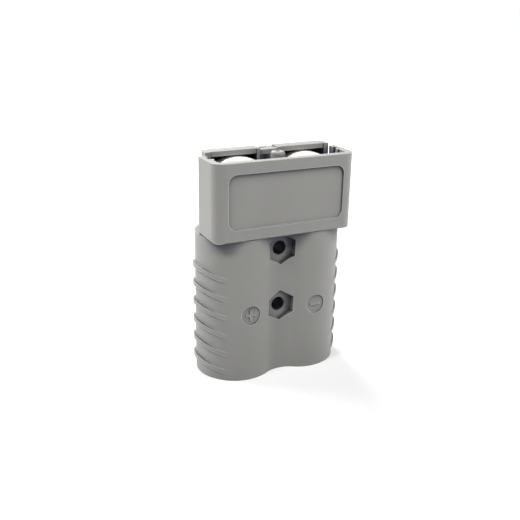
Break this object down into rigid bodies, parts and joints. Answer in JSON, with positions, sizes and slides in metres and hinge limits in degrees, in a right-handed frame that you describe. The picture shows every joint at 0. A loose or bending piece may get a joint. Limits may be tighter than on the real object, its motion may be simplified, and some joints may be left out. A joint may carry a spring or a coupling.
{
  "type": "genderless power connector",
  "caption": "Genderless high-current battery connector with sprung blade contacts in a hooded housing with ribbed wire barrels and through mounting holes.",
  "frame": {"origin": "middle of the flat wire end, halfway between the two barrels' axes and on the mating plane", "axes": "+Z from the wire end to the mouth, +X from the positive pole to the negative pole, -Y the side that the hood and its label panel face"},
  "size_m": [0.076, 0.0389, 0.1094],
  "materials": {
    "housing_plastic": "moulded grey, satin",
    "plated_contact": "silver-plated copper, satin",
    "spring_steel": "stainless strip"
  },
  "bodies": {
    "root": {"housing": "housing_plastic", "positive_contact": "plated_contact", "negative_contact": "plated_contact", "positive_spring": "spring_steel", "negative_spring": "spring_steel"}
  },
  "joints": []
}
